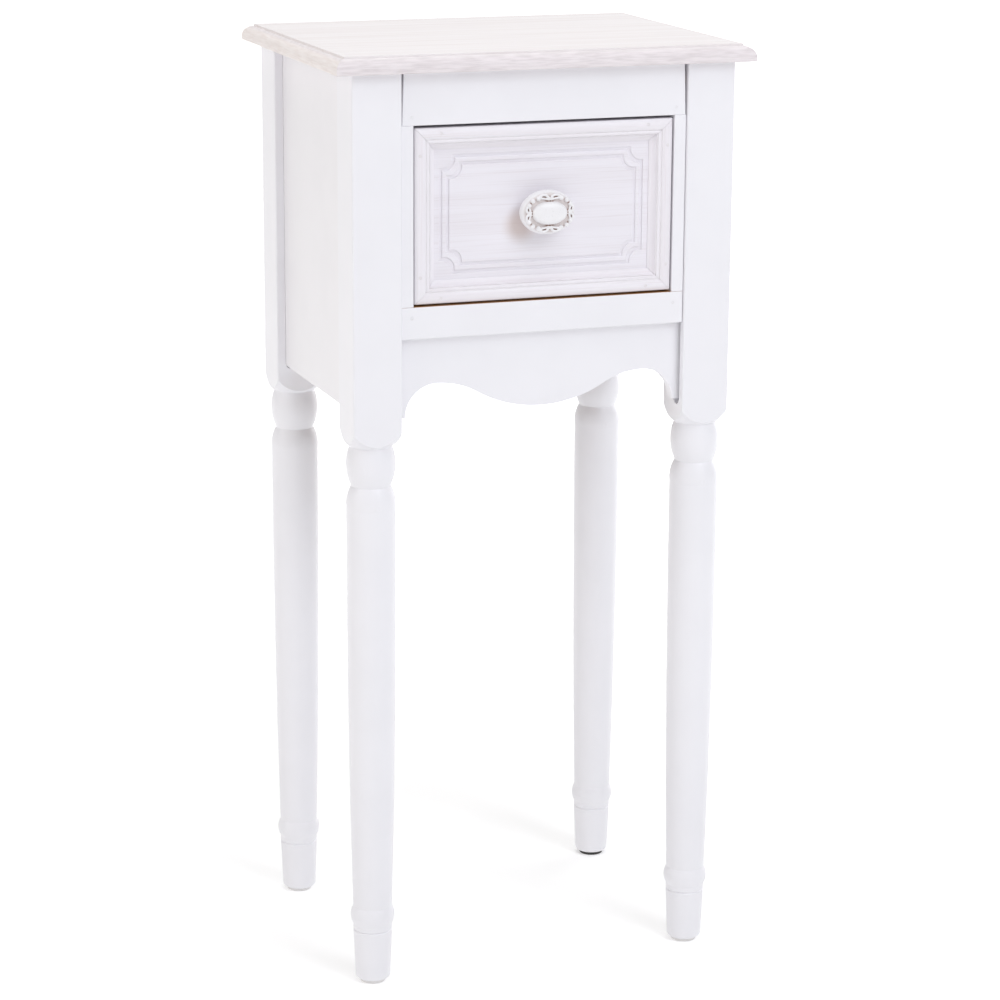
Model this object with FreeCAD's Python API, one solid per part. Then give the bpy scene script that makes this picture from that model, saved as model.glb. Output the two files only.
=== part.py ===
import FreeCAD, Part
import math
import os

from FreeCAD import Vector

# A nightstand with one drawer on four turned legs. Sizes are in millimetres.
# X runs to the right, Y to the back and Z up; the floor is at Z = 0 and the legs are centred on X = 0.

# Overall size and top board
TABLE_HEIGHT = 720.0
TOP_WIDTH = 328.0
TOP_DEPTH = 258.0
TOP_THICKNESS = 13.0
SIDE_OVERHANG = 13.8
FRONT_OVERHANG = 8.4
BACK_OVERHANG = 6.6
NOSE_EDGE = 4.2
NOSE_REACH = 8.0
NOSE_STEP = 1.6
NOSE_BULGE = 1.9
NOSE_ARRIS = 1.0

# Legs: a square post above, turned below
POST_SIDE = 37.8
POST_ROUND = 1.2
POST_TAIL = 7.9
TURNING_ALLOWANCE = 0.2
UPPER_NECK_DIAMETER = 32.4
LOWER_NECK_DIAMETER = 30.2
POMMEL_HEIGHT = 13.0
POMMEL_BULGE = 1.2
BALL_HEIGHT = 30.6
SHOULDER_HEIGHT = 17.3
SHOULDER_BULGE = 1.4
VASE_BULGE = 1.05
ANKLE_DIAMETER = 30.2
RING_DIAMETER = 34.1
RING_HEIGHT = 14.6
COLLAR_HEIGHT = 4.3
FOOT_HEIGHT = 40.5
FOOT_DIAMETER = 27.3
FOOT_ROUND = 3.0
SCORE_WIDTH = 1.8
SCORE_DEPTH = 0.9

# Foot glides and their nails
GLIDE_THICKNESS = 3.0
GLIDE_DIAMETER = 20.0
GLIDE_ROUND = 1.0
NAIL_DIAMETER = 2.2
NAIL_LENGTH = 16.0
NAIL_HEAD_DIAMETER = 6.0
NAIL_HEAD_THICKNESS = 0.8
NAIL_HEAD_SINK = 0.7

# Face frame between the front posts
FRAME_RECESS = 2.5
FRAME_THICKNESS = 18.0
TOP_RAIL_HEIGHT = 39.0
TOP_RAIL_HIGH_GAP = 2.2
TOP_RAIL_LOW_GAP = 0.9
SEAM_GAP = 0.25
OPENING_HEIGHT = 134.0
BOTTOM_RAIL_HEIGHT = 24.0
STILE_WIDTH = 9.7
FRAME_ARRIS = 0.7

# Scalloped apron
APRON_THICKNESS = 9.0
APRON_RECESS = 6.5
APRON_DROP = 58.0
APRON_ARCH = 35.6
APRON_TIP = 60.6
APRON_TIP_WIDTH = 5.0
APRON_DROP_RADIUS = 100.0
APRON_GROOVE_ROOM = 2.6

# Side and back panels, and the grooves that hold panels and apron
PANEL_THICKNESS = 8.0
PANEL_RECESS = 7.0
BACK_THICKNESS = 5.0
BACK_RECESS = 6.0
GROOVE_DEPTH = 8.0
GROOVE_PLAY = 0.3
GROOVE_END_ROOM = 0.6
GROOVE_OVERRUN = 5.0
SIDE_GROOVE_OVERRUN = 2.5
PANEL_ARRIS = 0.8

# Drawer front
DRAWER_SIDE_GAP = 1.2
DRAWER_TOP_GAP = 2.3
DRAWER_LOW_GAP = 1.7
FRONT_THICKNESS = 10.0
MOULDING_WIDTH = 16.5
MOULDING_DEPTH = 7.5
MOULDING_EDGE = 1.8
MOULDING_BAND = 8.0
QUIRK_WIDTH = 0.9
QUIRK_DEPTH = 1.9
STEP_WIDTH = 2.2
STEP_DEPTH = 1.5
STEP_RISE = 0.5
INNER_QUIRK_WIDTH = 0.8
INNER_QUIRK_DEPTH = 2.4
COVE_START_DEPTH = 1.9
COVE_SAG = 0.9
LIP_HEIGHT = 0.9
MITRE_GAP = 0.2

# Notched bead on the drawer front
BEAD_MARGIN = 4.4
BEAD_WIDTH = 3.7
BEAD_GROOVE = 2.0
BEAD_DEPTH = 1.2
BEAD_ROUND = 1.0
FIELD_ROUND = 0.6
NOTCH_RADIUS = 8.5
NOTCH_STEP = 1.5

# Drawer box
BOX_SETBACK = 0.8
SIDE_THICKNESS = 10.0
SIDE_CLEARANCE = 6.5
DADO_DEPTH = 4.0
DADO_PLAY = 0.1
BOX_BACK_THICKNESS = 10.0
BOX_BACK_DROP = 6.0
BOTTOM_THICKNESS = 4.0
BOTTOM_LIFT = 6.5
BOTTOM_GROOVE = 5.0
BOTTOM_PLAY = 0.2
BOX_REAR_SPACE = 16.0

# Runners, guides, kickers and stops
RUN_CLEARANCE = 0.3
RUNNER_HEIGHT = 20.0
RUNNER_LEDGE = 3.0
GUIDE_CLEARANCE = 1.0
GUIDE_HEIGHT = 12.0
KICKER_WIDTH = 20.0
STOP_CLEARANCE = 0.5
STOP_LENGTH = 12.0
STOP_HEIGHT = 14.0

# Knob, its screw and washer
KNOB_WIDTH = 43.0
KNOB_HEIGHT = 33.4
KNOB_RIM_OUT = 18.0
KNOB_STEM_DIAMETER = 11.0
KNOB_FOOT_DIAMETER = 16.0
KNOB_FOOT_THICKNESS = 2.0
KNOB_NECK_OUT = 6.0
CABOCHON_WIDTH = 27.2
CABOCHON_HEIGHT = 17.4
CABOCHON_RISE = 3.2
BOWL_BACK_INSET = 8.5
BOWL_SIDE_INSET = 2.8
BOWL_SIDE_OUT = 8.0
BOWL_WIDEST_OUT = 12.5
BOWL_FRONT_INSET = 2.2
SCROLL_WIRE = 2.4
SCROLL_BALL = 3.4
SCROLL_ROOT_INSET = 6.8
SCROLL_CROWN_INSET = 3.5
SCROLL_TIP_INSET = 5.6
SCROLL_CROWN_TURN = 20.0
SCROLL_TIP_TURN = 37.0
KNOB_SCREW_DIAMETER = 4.0
KNOB_SCREW_GRIP = 9.0
KNOB_SCREW_HEAD_DIAMETER = 8.0
KNOB_SCREW_HEAD_THICKNESS = 2.8
WASHER_DIAMETER = 12.0
WASHER_THICKNESS = 1.0

# Wood screws, dowels and brads
HOLE_PLAY = 0.2
SCREW_DIAMETER = 3.8
SCREW_HEAD_DIAMETER = 7.0
SCREW_HEAD_THICKNESS = 2.4
SCREW_BITE = 13.0
SCREW_SINK = 5.0
TOP_SCREW_BITE = 9.0
TOP_SCREW_SINK = 14.0
TOP_SCREW_SPREAD = 60.0
RUNNER_SCREW_LIFT = 5.2
DOWEL_DIAMETER = 8.0
DOWEL_LENGTH = 30.0
DOWEL_END_ROOM = 1.0
DOWEL_EDGE = 13.0
LOW_DOWEL_LIFT = 8.0
BRAD_DIAMETER = 1.6
BRAD_HEAD_DIAMETER = 2.4
BRAD_HEAD_THICKNESS = 1.0
BRAD_SINK = 0.2
BRAD_BITE = 8.0
RAIL_BRAD_INSET = 8.5
LOW_BRAD_LIFT = 16.0
HIGH_BRAD_LIFT = 6.0
MOULDING_BRAD_BITE = 6.0
MOULDING_BRAD_FROM_END = 20.0

# Levels, from the top down
under_top = TABLE_HEIGHT - TOP_THICKNESS
opening_top = under_top - TOP_RAIL_HEIGHT
opening_low = opening_top - OPENING_HEIGHT
rail_low = opening_low - BOTTOM_RAIL_HEIGHT
skirt_low = rail_low - APRON_DROP
tip_low = rail_low - APRON_TIP
arch_high = rail_low - APRON_ARCH
front_low = opening_low + DRAWER_LOW_GAP
front_high = opening_top - DRAWER_TOP_GAP
knob_z = (front_low + front_high) / 2

# Places across the width
half_width = TOP_WIDTH / 2 - SIDE_OVERHANG
leg_x = half_width - POST_SIDE / 2
inner_x = half_width - POST_SIDE
opening_x = inner_x - STILE_WIDTH
front_x = opening_x - DRAWER_SIDE_GAP
box_x = front_x - BOX_SETBACK
box_inner_x = box_x - SIDE_THICKNESS
panel_x = half_width - PANEL_RECESS
runner_x = box_inner_x - RUNNER_LEDGE
guide_x = box_x + GUIDE_CLEARANCE
kicker_x = inner_x - KICKER_WIDTH

# Places along the depth, measured from the middle of the four legs
half_depth = (TOP_DEPTH - FRONT_OVERHANG - BACK_OVERHANG) / 2
leg_y = half_depth - POST_SIDE / 2
inner_y = half_depth - POST_SIDE
frame_front = -half_depth + FRAME_RECESS
frame_back = frame_front + FRAME_THICKNESS
apron_front = frame_front + APRON_RECESS
apron_back = apron_front + APRON_THICKNESS
back_outer = half_depth - BACK_RECESS
back_inner = back_outer - BACK_THICKNESS
field_y = frame_front + MOULDING_DEPTH
panel_back = field_y + FRONT_THICKNESS
box_back = back_inner - BOX_REAR_SPACE
front_screw_y = (frame_back - inner_y) / 2
rear_screw_y = (inner_y + back_inner) / 2

# Levels of the runners and the drawer box
runner_top = front_low - RUN_CLEARANCE
runner_low = runner_top - RUNNER_HEIGHT
side_top = opening_top - SIDE_CLEARANCE
bottom_low = front_low + BOTTOM_LIFT
bottom_top = bottom_low + BOTTOM_THICKNESS

# The whole part is moved along Y so that its box is centred on the origin
knob_front = field_y - KNOB_RIM_OUT - CABOCHON_RISE
top_back = half_depth + BACK_OVERHANG
shift_y = -(knob_front + top_back) / 2


def block(x, y, z):
    """A box between two values on each axis, in any order."""
    low = Vector(min(x), min(y), min(z))
    return Part.makeBox(max(x) - low.x, max(y) - low.y, max(z) - low.z, low)


def rod(start, direction, length, diameter):
    """A plain round bar."""
    return Part.makeCylinder(diameter / 2, length, start, direction)


def mirrored(shape):
    """The same shape on the other side of the middle plane."""
    return shape.mirror(Vector(0, 0, 0), Vector(1, 0, 0))


def softened(shape, radius, chosen):
    """Rounds the edges whose middle point satisfies a test."""
    edges = [edge for edge in shape.Edges if chosen(edge.BoundBox.Center, edge.BoundBox)]
    return shape.makeFillet(radius, edges)


def line(start, end):
    """A straight edge between two points."""
    return Part.LineSegment(start, end).toShape()


def bowed(start, end, bulge):
    """An arc in the XZ plane that stands to the right of its chord by a bulge."""
    chord = end - start
    aside = Vector(chord.z, 0, -chord.x)
    aside.normalize()
    return Part.Arc(start, (start + end) / 2 + aside * bulge, end).toShape()


def filled(edges):
    """The flat face inside a closed run of edges."""
    return Part.Face(Part.Wire(edges))


def polygon(points):
    """The flat face inside straight edges."""
    return Part.Face(Part.makePolygon(points + points[:1]))


def same(shape, places):
    """Copies of one shape moved to several places."""
    copies = []
    for place in places:
        copy = shape.copy()
        copy.translate(place)
        copies.append(copy)
    return copies


def group(solids):
    """Separate solids that share one node."""
    return Part.makeCompound(solids)


def both_sides(shapes):
    """Shapes of the left side together with their mirror images."""
    return shapes + [mirrored(shape) for shape in shapes]


def cut_all(shape, tools):
    """A shape less a list of other shapes."""
    return shape.cut(tools).Solids[0]


def turned(edges, axis_point, axis):
    """A solid of revolution."""
    return filled(edges).revolve(axis_point, axis, 360)


# Fixings

def stepped_pin(start, direction, head, shank):
    """A pin with a head, both given as (diameter, length), starting at the head's outer face."""
    head_diameter, head_length = head
    shank_diameter, shank_length = shank
    pin = rod(start, direction, head_length, head_diameter)
    return pin.fuse(rod(start, direction, head_length + shank_length, shank_diameter)).removeSplitter()


def brad(start, direction, length):
    """A brad whose head lies just below the surface it was driven from."""
    start = start + direction * BRAD_SINK
    return stepped_pin(start, direction, (BRAD_HEAD_DIAMETER, BRAD_HEAD_THICKNESS),
                       (BRAD_DIAMETER, length - BRAD_SINK - BRAD_HEAD_THICKNESS))


def brad_hole(start, direction, length):
    """The hole for a brad, open to the surface."""
    return stepped_pin(start, direction, (BRAD_HEAD_DIAMETER + HOLE_PLAY, BRAD_SINK + BRAD_HEAD_THICKNESS),
                       (BRAD_DIAMETER + HOLE_PLAY, length - BRAD_SINK - BRAD_HEAD_THICKNESS + HOLE_PLAY))


def screw(start, direction, length, sink):
    """A wood screw with its head at the bottom of a counterbore."""
    start = start + direction * (sink - SCREW_HEAD_THICKNESS)
    return stepped_pin(start, direction, (SCREW_HEAD_DIAMETER, SCREW_HEAD_THICKNESS),
                       (SCREW_DIAMETER, length - sink))


def screw_hole(start, direction, length, sink):
    """The hole for a wood screw, with its counterbore."""
    return stepped_pin(start, direction, (SCREW_HEAD_DIAMETER + HOLE_PLAY, sink),
                       (SCREW_DIAMETER + HOLE_PLAY, length - sink + HOLE_PLAY))


# Where the fixings of the left side go: start, direction, length and, for a screw, its counterbore
LEFT = Vector(-1, 0, 0)
BACK = Vector(0, 1, 0)
UP = Vector(0, 0, 1)

runner_screw_length = inner_x - runner_x + SCREW_BITE
runner_screws = [(Vector(-runner_x, y, runner_low + RUNNER_SCREW_LIFT), LEFT, runner_screw_length, SCREW_SINK)
                 for y in (front_screw_y, rear_screw_y)]
kicker_screw_length = KICKER_WIDTH + SCREW_BITE
kicker_screws = [(Vector(-kicker_x, y, (opening_top + under_top) / 2), LEFT, kicker_screw_length, SCREW_SINK)
                 for y in (front_screw_y, rear_screw_y)]
top_screw_length = TOP_RAIL_HEIGHT + TOP_SCREW_BITE
top_screws = [(Vector(-(kicker_x + inner_x) / 2, y, opening_top), UP, top_screw_length, TOP_SCREW_SINK)
              for y in (-TOP_SCREW_SPREAD, TOP_SCREW_SPREAD)]
dowel_y = (frame_front + frame_back) / 2
high_dowels = [Vector(-inner_x, dowel_y, z) for z in (opening_top + DOWEL_EDGE, under_top - DOWEL_EDGE)]
low_dowels = [Vector(-inner_x, dowel_y, rail_low + LOW_DOWEL_LIFT)]
rail_brad_length = FRAME_THICKNESS + BRAD_BITE
rail_brad_x = -(inner_x - RAIL_BRAD_INSET)
high_brad = (Vector(rail_brad_x, frame_front, opening_top + HIGH_BRAD_LIFT), BACK, rail_brad_length)
low_brad = (Vector(rail_brad_x, frame_front, rail_low + LOW_BRAD_LIFT), BACK, rail_brad_length)
stop_y = box_back + STOP_CLEARANCE
guide_front = frame_back
guide_back = stop_y + STOP_LENGTH
guide_brad_x = -(guide_x + inner_x) / 2
guide_brads = [(Vector(guide_brad_x, y, runner_top + GUIDE_HEIGHT), -UP, GUIDE_HEIGHT + BRAD_BITE)
               for y in (-TOP_SCREW_SPREAD, TOP_SCREW_SPREAD)]
stop_brads = [(Vector(-(box_x + box_inner_x) / 2, stop_y + STOP_LENGTH / 2, runner_top + STOP_HEIGHT), -UP,
               STOP_HEIGHT + BRAD_BITE)]


def dowel(place):
    """A dowel across the joint between a rail and the left post."""
    return rod(place - LEFT * (DOWEL_LENGTH / 2), LEFT, DOWEL_LENGTH, DOWEL_DIAMETER)


def dowel_hole(place):
    """The hole for a dowel, in both pieces at once."""
    reach = DOWEL_LENGTH / 2 + DOWEL_END_ROOM
    return rod(place - LEFT * reach, LEFT, reach * 2, DOWEL_DIAMETER + HOLE_PLAY)


# Top board

def nose_section(low, high):
    """The board's section between two edges, with its moulded nose at both ends, in the XZ plane."""
    step_z = TABLE_HEIGHT - NOSE_STEP
    edge_z = under_top + NOSE_EDGE
    right = [Vector(high - NOSE_ARRIS, 0, under_top), Vector(high, 0, under_top + NOSE_ARRIS),
             Vector(high, 0, edge_z), Vector(high - NOSE_REACH, 0, step_z),
             Vector(high - NOSE_REACH, 0, TABLE_HEIGHT)]
    left = [Vector(low + high - point.x, 0, point.z) for point in reversed(right)]
    arris_bulge = NOSE_ARRIS * (1 - math.sqrt(0.5))
    return filled([
        line(left[4], right[0]), bowed(right[0], right[1], arris_bulge), line(right[1], right[2]),
        bowed(right[2], right[3], NOSE_BULGE), line(right[3], right[4]),
        line(right[4], left[0]), line(left[0], left[1]), bowed(left[1], left[2], NOSE_BULGE),
        line(left[2], left[3]), bowed(left[3], left[4], arris_bulge)])


def top_board():
    """The board is where a moulding run along X and one run along Y meet, so its corners are mitred."""
    front, back = -half_depth - FRONT_OVERHANG, half_depth + BACK_OVERHANG
    across = nose_section(-TOP_WIDTH / 2, TOP_WIDTH / 2)
    across.translate(Vector(0, front, 0))
    along = nose_section(front, back)
    along.rotate(Vector(0, 0, 0), UP, 90)
    along.translate(Vector(-TOP_WIDTH / 2, 0, 0))
    board = across.extrude(BACK * TOP_DEPTH).common(along.extrude(Vector(TOP_WIDTH, 0, 0)))
    return cut_all(board.Solids[0], both_sides([screw_hole(*place) for place in top_screws]))


# Legs

def leg_blank():
    """One leg on the Z axis: a turned profile that meets a square blank with softened edges."""
    upper_neck = UPPER_NECK_DIAMETER / 2
    lower_neck = LOWER_NECK_DIAMETER / 2
    ankle = ANKLE_DIAMETER / 2
    foot = FOOT_DIAMETER / 2
    belly = (POST_SIDE - TURNING_ALLOWANCE) / 2
    beyond = POST_SIDE / 2 * math.sqrt(2)
    pommel_low = tip_low - POST_TAIL - POMMEL_HEIGHT
    ball_low = pommel_low - BALL_HEIGHT
    belly_z = ball_low - SHOULDER_HEIGHT
    score_z = GLIDE_THICKNESS + FOOT_HEIGHT
    ring_low = score_z + COLLAR_HEIGHT
    ring_top = ring_low + RING_HEIGHT
    middle = Vector(0, 0, GLIDE_THICKNESS)
    sole = Vector(foot - FOOT_ROUND, 0, GLIDE_THICKNESS)
    toe = Vector(foot, 0, GLIDE_THICKNESS + FOOT_ROUND)
    score = [Vector(ankle, 0, score_z - SCORE_WIDTH / 2), Vector(ankle - SCORE_DEPTH, 0, score_z),
             Vector(ankle, 0, score_z + SCORE_WIDTH / 2)]
    ring = [Vector(ankle, 0, ring_low), Vector(ankle, 0, ring_top)]
    belly_point = Vector(belly, 0, belly_z)
    ball = [Vector(lower_neck, 0, ball_low), Vector(upper_neck, 0, pommel_low)]
    ball_bulge = belly - (lower_neck + upper_neck) / 2
    pommel = Vector(beyond, 0, pommel_low + POMMEL_HEIGHT)
    top = [Vector(beyond, 0, under_top), Vector(0, 0, under_top)]
    profile = turned([
        line(middle, sole), bowed(sole, toe, FOOT_ROUND * (1 - math.sqrt(0.5))), line(toe, score[0]),
        line(score[0], score[1]), line(score[1], score[2]), line(score[2], ring[0]),
        bowed(ring[0], ring[1], RING_DIAMETER / 2 - ankle), bowed(ring[1], belly_point, VASE_BULGE),
        bowed(belly_point, ball[0], SHOULDER_BULGE), bowed(ball[0], ball[1], ball_bulge),
        bowed(ball[1], pommel, POMMEL_BULGE), line(pommel, top[0]), line(top[0], top[1]),
        line(top[1], middle)], Vector(0, 0, 0), UP)
    half = POST_SIDE / 2
    square = block((-half, half), (-half, half), (GLIDE_THICKNESS, under_top))
    square = softened(square, POST_ROUND, lambda middle, box: box.ZLength > POST_SIDE)
    return square.common(profile).Solids[0]


def slot(width, low, depth):
    """A routed groove with a round lower end, open at the top of the post.

    It lies on the plane Y = 0, centred on X = 0, and is cut into +Y.
    """
    radius = width / 2
    opening = block((-radius, radius), (0, depth), (low + radius, under_top))
    return opening.fuse(Part.makeCylinder(radius, depth, Vector(0, 0, low + radius), BACK)).removeSplitter()


def side_groove(y, into):
    """The groove for the left side panel, in the post face at a Y, cut towards +1 or -1."""
    groove = slot(PANEL_THICKNESS + GROOVE_PLAY, skirt_low - SIDE_GROOVE_OVERRUN, GROOVE_DEPTH)
    if into < 0:
        groove.rotate(Vector(0, 0, 0), UP, 180)
    groove.translate(Vector(-panel_x + PANEL_THICKNESS / 2, y, 0))
    return groove


def inner_groove(y_low, y_high, low):
    """A groove in the inner face of a left post, round a board between two Y values."""
    groove = slot(y_high - y_low + GROOVE_PLAY, low - GROOVE_OVERRUN, GROOVE_DEPTH)
    groove.rotate(Vector(0, 0, 0), UP, 90)
    groove.translate(Vector(-inner_x, (y_low + y_high) / 2, 0))
    return groove


def foot_hole():
    """The hole for the glide's nail in the foot, on the Z axis."""
    reach = NAIL_HEAD_SINK + NAIL_LENGTH + HOLE_PLAY
    return rod(Vector(0, 0, 0), UP, reach, NAIL_DIAMETER + HOLE_PLAY)


def left_leg(end, cuts):
    """A left leg, at the front (-1) or the back (+1), less what is cut from it."""
    leg = leg_blank()
    leg = cut_all(leg, [foot_hole()])
    leg.translate(Vector(-leg_x, end * leg_y, 0))
    return cut_all(leg, cuts)


def legs():
    """The four legs, with the grooves and holes that each needs."""
    apron_groove = inner_groove(apron_front - APRON_GROOVE_ROOM, apron_back, tip_low)
    below_rail = block((-half_width, 0), (-half_depth, half_depth), (0, rail_low))
    holes = [screw_hole(*place) for place in runner_screws + kicker_screws]
    dowels = [dowel_hole(place) for place in high_dowels + low_dowels]
    front = left_leg(-1, [side_groove(-inner_y, -1), apron_groove.common(below_rail)] + holes + dowels)
    rear = left_leg(1, [side_groove(inner_y, 1), inner_groove(back_inner, back_outer, skirt_low)] + holes)
    return {"front_left_leg": front, "front_right_leg": mirrored(front),
            "rear_left_leg": rear, "rear_right_leg": mirrored(rear)}


def glides():
    """The plastic glides under the feet and the nails that hold them."""
    radius = GLIDE_DIAMETER / 2
    disc = Part.makeCylinder(radius, GLIDE_THICKNESS)
    disc = softened(disc, GLIDE_ROUND,
                    lambda middle, box: middle.z < GLIDE_THICKNESS / 2 and box.ZLength < GLIDE_ROUND)
    nail = stepped_pin(Vector(0, 0, NAIL_HEAD_SINK), UP, (NAIL_HEAD_DIAMETER, NAIL_HEAD_THICKNESS),
                       (NAIL_DIAMETER, NAIL_LENGTH - NAIL_HEAD_THICKNESS))
    well = rod(Vector(0, 0, 0), UP, NAIL_HEAD_SINK + NAIL_HEAD_THICKNESS, NAIL_HEAD_DIAMETER + HOLE_PLAY)
    disc = cut_all(disc, [well, foot_hole()])
    places = {f"{end}_{side}": Vector(x, y, 0) for end, y in (("front", -leg_y), ("rear", leg_y))
              for side, x in (("left", -leg_x), ("right", leg_x))}
    pieces = {f"{name}_foot_glide": same(disc, [place])[0] for name, place in places.items()}
    pieces["glide_nails"] = group(same(nail, places.values()))
    return pieces


# Panels, face frame and apron

def panels():
    """The side panels and the back panel, held in the posts' grooves."""
    reach = GROOVE_DEPTH - GROOVE_END_ROOM
    levels = (skirt_low, under_top)
    left = block((-panel_x, -panel_x + PANEL_THICKNESS), (-inner_y - reach, inner_y + reach), levels)
    left = softened(left, PANEL_ARRIS,
                    lambda middle, box: middle.z < skirt_low + PANEL_ARRIS and box.YLength > PANEL_THICKNESS)
    back = block((-inner_x - reach, inner_x + reach), (back_inner, back_outer), levels)
    back = softened(back, PANEL_ARRIS,
                    lambda middle, box: middle.z < skirt_low + PANEL_ARRIS and box.XLength > BACK_THICKNESS)
    return {"left_side_panel": left, "right_side_panel": mirrored(left), "back_panel": back}


def frame_bar(low_x, high_x, z):
    """A bar of the face frame between two heights, with its X limits at each, and its front edges softened."""
    corners = [(low_x[0], z[0]), (low_x[1], z[0]), (high_x[1], z[1]), (high_x[0], z[1])]
    bar = polygon([Vector(x, frame_front, height) for x, height in corners]).extrude(BACK * FRAME_THICKNESS)
    return softened(bar, FRAME_ARRIS,
                    lambda middle, box: box.YLength < FRAME_ARRIS and middle.y < frame_front + FRAME_ARRIS)


def face_frame():
    """The rails and stiles round the drawer's opening."""
    low_x = inner_x - TOP_RAIL_LOW_GAP
    high_x = inner_x - TOP_RAIL_HIGH_GAP
    top_rail = frame_bar((-low_x, low_x), (-high_x, high_x), (opening_top, under_top))
    seam_x = inner_x - SEAM_GAP
    low_rail = frame_bar((-seam_x, seam_x), (-seam_x, seam_x), (rail_low, opening_low))
    stile = frame_bar((-seam_x, -opening_x), (-seam_x, -opening_x), (opening_low, opening_top))
    top_cuts = [dowel_hole(place) for place in high_dowels] + [brad_hole(*high_brad)]
    low_cuts = [dowel_hole(place) for place in low_dowels] + [brad_hole(*low_brad)]
    return {"front_top_rail": cut_all(top_rail, both_sides(top_cuts)),
            "front_bottom_rail": cut_all(low_rail, both_sides(low_cuts)),
            "front_left_stile": stile, "front_right_stile": mirrored(stile)}


def apron():
    """The scalloped board under the bottom rail: an arch at each side and a rounded drop in the middle."""
    reach = inner_x + GROOVE_DEPTH - GROOVE_END_ROOM
    tip_x = inner_x - APRON_TIP_WIDTH
    end_radius = arch_high - tip_low
    arch_x = tip_x - end_radius
    rise = arch_high - skirt_low
    arch_radius = (arch_x ** 2 + rise ** 2) / (2 * rise) - APRON_DROP_RADIUS
    share = APRON_DROP_RADIUS / (APRON_DROP_RADIUS + arch_radius)
    meet_x = arch_x * share
    meet_z = skirt_low + rise * share
    quarter = end_radius * math.sqrt(0.5)
    arch_lean = math.asin((arch_x - meet_x) / arch_radius) / 2
    half_arch_x = arch_x - arch_radius * math.sin(arch_lean)
    half_arch_z = arch_high - arch_radius * (1 - math.cos(arch_lean))

    def point(x, z):
        return Vector(x, apron_front, z)

    right = [line(point(reach, rail_low), point(reach, tip_low)),
             line(point(reach, tip_low), point(tip_x, tip_low)),
             Part.Arc(point(tip_x, tip_low), point(arch_x + quarter, tip_low + quarter),
                      point(arch_x, arch_high)).toShape(),
             Part.Arc(point(arch_x, arch_high), point(half_arch_x, half_arch_z),
                      point(meet_x, meet_z)).toShape()]
    left = [mirrored(edge) for edge in right]
    middle = Part.Arc(point(meet_x, meet_z), point(0, skirt_low), point(-meet_x, meet_z)).toShape()
    top = line(point(-reach, rail_low), point(reach, rail_low))
    outline = Part.Wire(Part.__sortEdges__(right + [middle] + left + [top]))
    board = Part.Face(outline).extrude(BACK * APRON_THICKNESS)
    return {"front_apron": board.Solids[0]}


# Runners, guides, kickers and stops

def drawer_ways():
    """What carries, steers and stops the drawer, on both sides."""
    length = (frame_back, back_inner)
    runner = block((-inner_x, -runner_x), length, (runner_low, runner_top))
    runner = cut_all(runner, [screw_hole(*place) for place in runner_screws] + [brad_hole(*low_brad)]
                     + [brad_hole(*place) for place in guide_brads + stop_brads])
    kicker = block((-inner_x, -kicker_x), length, (opening_top, under_top))
    kicker_cuts = [screw_hole(*place) for place in kicker_screws + top_screws] + [brad_hole(*high_brad)]
    kicker = cut_all(kicker, kicker_cuts)
    guide = block((-inner_x, -guide_x), (guide_front, guide_back), (runner_top, runner_top + GUIDE_HEIGHT))
    guide = cut_all(guide, [brad_hole(*place) for place in guide_brads])
    stop = block((-box_x, -box_inner_x), (stop_y, stop_y + STOP_LENGTH),
                 (runner_top, runner_top + STOP_HEIGHT))
    stop = cut_all(stop, [brad_hole(*place) for place in stop_brads])
    pieces = {}
    for name, piece in (("drawer_runner", runner), ("kicker", kicker),
                        ("drawer_guide", guide), ("drawer_stop", stop)):
        pieces[f"left_{name}"] = piece
        pieces[f"right_{name}"] = mirrored(piece)
    return pieces


def carcass_fixings():
    """Screws, dowels and brads of the carcass, each kind in one group."""
    return {
        "rail_dowels": group(both_sides([dowel(place) for place in high_dowels + low_dowels])),
        "top_screws": group(both_sides([screw(*place) for place in top_screws])),
        "runner_screws": group(both_sides([screw(*place) for place in runner_screws])),
        "kicker_screws": group(both_sides([screw(*place) for place in kicker_screws])),
        "rail_brads": group(both_sides([brad(*high_brad), brad(*low_brad)])),
        "guide_brads": group(both_sides([brad(*place) for place in guide_brads + stop_brads])),
    }


# Drawer front

front_half_height = (front_high - front_low) / 2
field_x = front_x - MOULDING_WIDTH
field_z = front_half_height - MOULDING_WIDTH


def moulding_section():
    """The moulding's section as edges: X runs in from the outer edge, Z out from the board to the front."""
    band_end = MOULDING_BAND + QUIRK_WIDTH
    step_end = band_end + STEP_WIDTH
    crest = MOULDING_DEPTH
    band = [Vector(0, 0, crest - MOULDING_EDGE), Vector(MOULDING_BAND / 2, 0, crest),
            Vector(MOULDING_BAND, 0, crest - MOULDING_EDGE / 2)]
    quirk = [Vector(MOULDING_BAND, 0, crest - QUIRK_DEPTH), Vector(band_end, 0, crest - QUIRK_DEPTH)]
    step = [Vector(band_end, 0, crest - STEP_DEPTH), Vector(step_end, 0, crest - STEP_DEPTH)]
    cove_start = step_end + INNER_QUIRK_WIDTH
    inner = [Vector(step_end, 0, crest - INNER_QUIRK_DEPTH), Vector(cove_start, 0, crest - INNER_QUIRK_DEPTH)]
    cove = Vector(cove_start, 0, crest - COVE_START_DEPTH)
    lip = Vector(MOULDING_WIDTH, 0, LIP_HEIGHT)
    base = [Vector(MOULDING_WIDTH, 0, 0), Vector(0, 0, 0)]
    return [Part.Arc(band[0], band[1], band[2]).toShape(), line(band[2], quirk[0]), line(quirk[0], quirk[1]),
            line(quirk[1], step[0]), bowed(step[0], step[1], -STEP_RISE), line(step[1], inner[0]),
            line(inner[0], inner[1]), line(inner[1], cove), bowed(cove, lip, COVE_SAG),
            line(lip, base[0]), line(base[0], base[1]), line(base[1], band[0])]


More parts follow.
